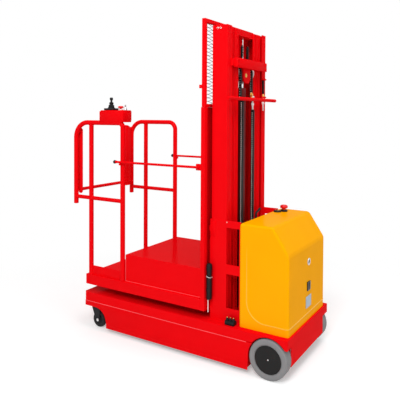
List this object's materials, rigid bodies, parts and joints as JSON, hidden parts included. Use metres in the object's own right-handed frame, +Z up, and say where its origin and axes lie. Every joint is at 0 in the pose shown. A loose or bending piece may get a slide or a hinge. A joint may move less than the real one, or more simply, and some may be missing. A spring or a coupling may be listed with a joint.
{
  "type": "self-propelled order picker truck",
  "caption": "Self-propelled order picker: low wheeled base with a covered power unit, a two-stage lifting mast and a railed platform with a raised deck, gate and controls.",
  "frame": {"origin": "on the floor, below the middle of the whole outline", "axes": "+Z up, +X towards the platform end (the front), +Y to the truck's left side"},
  "size_m": [1.7034, 0.727, 2.14],
  "materials": {
    "red_paint": "gloss red powder coat",
    "yellow_paint": "gloss amber-yellow",
    "dark_paint": "dark red paint",
    "black_plastic": "matt black",
    "red_plastic": "gloss red",
    "steel": "bright steel",
    "chain_steel": "oiled dark steel",
    "grey_rubber": "grey non-marking rubber",
    "dark_hub": "matt black",
    "battery_grey": "dark grey",
    "plate_grey": "blue-grey blank plate"
  },
  "bodies": {
    "chassis": {"deck_tray": "red_paint", "chassis_frame": "red_paint", "skirt_left": "red_paint", "skirt_right": "red_paint", "rear_apron": "red_paint", "outer_mast_left": "red_paint", "outer_mast_right": "red_paint", "mast_brace_left": "red_paint", "mast_brace_right": "red_paint", "mast_tie_beam": "red_paint", "chain_anchor_bar": "red_paint", "lift_cylinder": "dark_paint", "power_cover": "yellow_paint", "battery_block": "battery_grey", "cover_stop_button": "red_plastic", "cover_socket": "black_plastic", "key_switch": "black_plastic", "charge_gauge": "black_plastic", "blank_plate": "plate_grey", "deck_connector": "black_plastic", "chain_fixed_left": "chain_steel", "chain_fixed_right": "chain_steel"},
    "inner_mast": {"inner_mast_left": "red_paint", "inner_mast_right": "red_paint", "inner_top_beam": "red_paint", "lift_crosshead": "red_paint", "piston_rod": "steel", "chain_sheave_left": "chain_steel", "chain_sheave_right": "chain_steel", "chain_lift_left": "chain_steel", "chain_lift_right": "chain_steel"},
    "platform": {"platform_pan": "red_paint", "raised_deck": "red_paint", "toe_board_left": "red_paint", "toe_board_right": "red_paint", "guard_rail_left": "red_paint", "guard_rail_right": "red_paint", "backrest": "red_paint", "guard_frame": "red_paint", "guard_mesh": "red_paint", "carriage": "red_paint", "buffer_strut": "black_plastic", "control_box": "red_paint", "joystick": "black_plastic", "platform_stop_button": "red_plastic", "platform_key_switch": "steel"},
    "gate": {"entry_gate": "red_paint"},
    "bar_left": {"drop_bar_left": "red_paint"},
    "bar_right": {"drop_bar_right": "red_paint"},
    "castor_fork_left": {"castor_fork_left": "black_plastic"},
    "castor_wheel_left": {"castor_wheel_left": "black_plastic"},
    "drive_wheel_left": {"drive_tyre_left": "grey_rubber", "drive_hub_left": "dark_hub"},
    "castor_fork_right": {"castor_fork_right": "black_plastic"},
    "castor_wheel_right": {"castor_wheel_right": "black_plastic"},
    "drive_wheel_right": {"drive_tyre_right": "grey_rubber", "drive_hub_right": "dark_hub"}
  },
  "joints": [
    {"name": "mast_lift", "type": "slide", "parent": "chassis", "child": "inner_mast", "axis": [0, 0, 1], "range_m": [0, 1.3], "deforming": ["chain_fixed_left", "chain_fixed_right"]},
    {"name": "platform_lift", "type": "slide", "parent": "inner_mast", "child": "platform", "axis": [0, 0, 1], "range_m": [0, 1.3], "deforming": ["chain_lift_left", "chain_lift_right"]},
    {"name": "entry_gate_hinge", "type": "hinge", "parent": "platform", "child": "gate", "pos_m": [0.815, 0, 1.42], "axis": [0, 1, 0], "range_deg": [0, 90]},
    {"name": "bar_hinge_left", "type": "hinge", "parent": "platform", "child": "bar_left", "pos_m": [-0.24, 0.351, 1.211], "axis": [0, -1, 0], "range_deg": [0, 90]},
    {"name": "drive_wheel_spin_left", "type": "hinge", "parent": "chassis", "child": "drive_wheel_left", "pos_m": [-0.732, 0.323, 0.12], "axis": [0, 1, 0], "continuous": true},
    {"name": "castor_swivel_left", "type": "hinge", "parent": "chassis", "child": "castor_fork_left", "pos_m": [0.645, 0.3, 0.1565], "axis": [0, 0, 1], "continuous": true},
    {"name": "castor_spin_left", "type": "hinge", "parent": "castor_fork_left", "child": "castor_wheel_left", "pos_m": [0.617, 0.3, 0.056], "axis": [0, 1, 0], "continuous": true},
    {"name": "bar_hinge_right", "type": "hinge", "parent": "platform", "child": "bar_right", "pos_m": [-0.24, -0.351, 1.211], "axis": [0, -1, 0], "range_deg": [0, 90]},
    {"name": "drive_wheel_spin_right", "type": "hinge", "parent": "chassis", "child": "drive_wheel_right", "pos_m": [-0.732, -0.323, 0.12], "axis": [0, 1, 0], "continuous": true},
    {"name": "castor_swivel_right", "type": "hinge", "parent": "chassis", "child": "castor_fork_right", "pos_m": [0.645, -0.3, 0.1565], "axis": [0, 0, 1], "continuous": true},
    {"name": "castor_spin_right", "type": "hinge", "parent": "castor_fork_right", "child": "castor_wheel_right", "pos_m": [0.617, -0.3, 0.056], "axis": [0, 1, 0], "continuous": true}
  ],
  "couplings": [
    {"joint": "platform_lift", "follows": "mast_lift", "ratio": 1}
  ]
}
